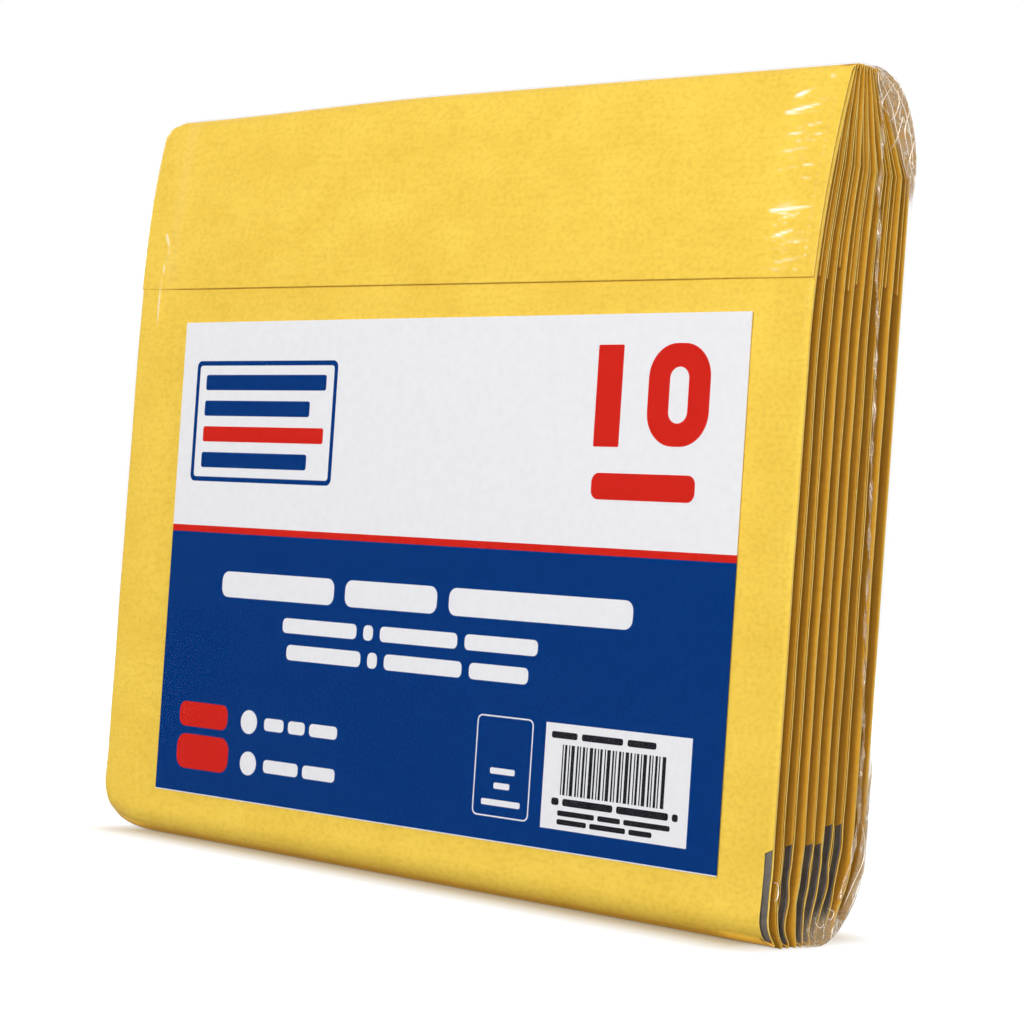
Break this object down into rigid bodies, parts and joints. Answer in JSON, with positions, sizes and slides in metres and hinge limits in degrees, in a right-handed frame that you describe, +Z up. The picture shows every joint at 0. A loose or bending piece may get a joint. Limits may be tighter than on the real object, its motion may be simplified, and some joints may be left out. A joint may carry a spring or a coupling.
{
  "type": "pack of padded envelopes",
  "caption": "Retail pack of yellow kraft envelopes with a bubble lining, standing upright in clear shrink film behind a printed card.",
  "frame": {"origin": "centre of the pack's bounding box, on the plane that its flat base stands on", "axes": "+X along the pack's width to the right of the labelled front, +Y from the labelled front to the rear, +Z up"},
  "size_m": [0.2004, 0.034, 0.1755],
  "materials": {
    "kraft": "matt golden kraft paper",
    "lining": "dark grey bubble film",
    "peel_strip": "smooth silicone paper",
    "label": "satin printed card with white, red and blue fields",
    "film": "clear glossy shrink film"
  },
  "bodies": {
    "root": {"envelope_01": "kraft", "envelope_02": "kraft", "envelope_03": "kraft", "envelope_04": "kraft", "envelope_05": "kraft", "envelope_06": "kraft", "envelope_07": "kraft", "envelope_08": "kraft", "envelope_09": "kraft", "envelope_10": "kraft", "bubble_lining_01": "lining", "bubble_lining_02": "lining", "bubble_lining_03": "lining", "bubble_lining_04": "lining", "bubble_lining_05": "lining", "bubble_lining_06": "lining", "bubble_lining_07": "lining", "bubble_lining_08": "lining", "bubble_lining_09": "lining", "bubble_lining_10": "lining", "peel_strip_01": "peel_strip", "peel_strip_02": "peel_strip", "peel_strip_03": "peel_strip", "peel_strip_04": "peel_strip", "peel_strip_05": "peel_strip", "peel_strip_06": "peel_strip", "peel_strip_07": "peel_strip", "peel_strip_08": "peel_strip", "peel_strip_09": "peel_strip", "peel_strip_10": "peel_strip", "label_card": "label", "shrink_film": "film"}
  },
  "joints": []
}
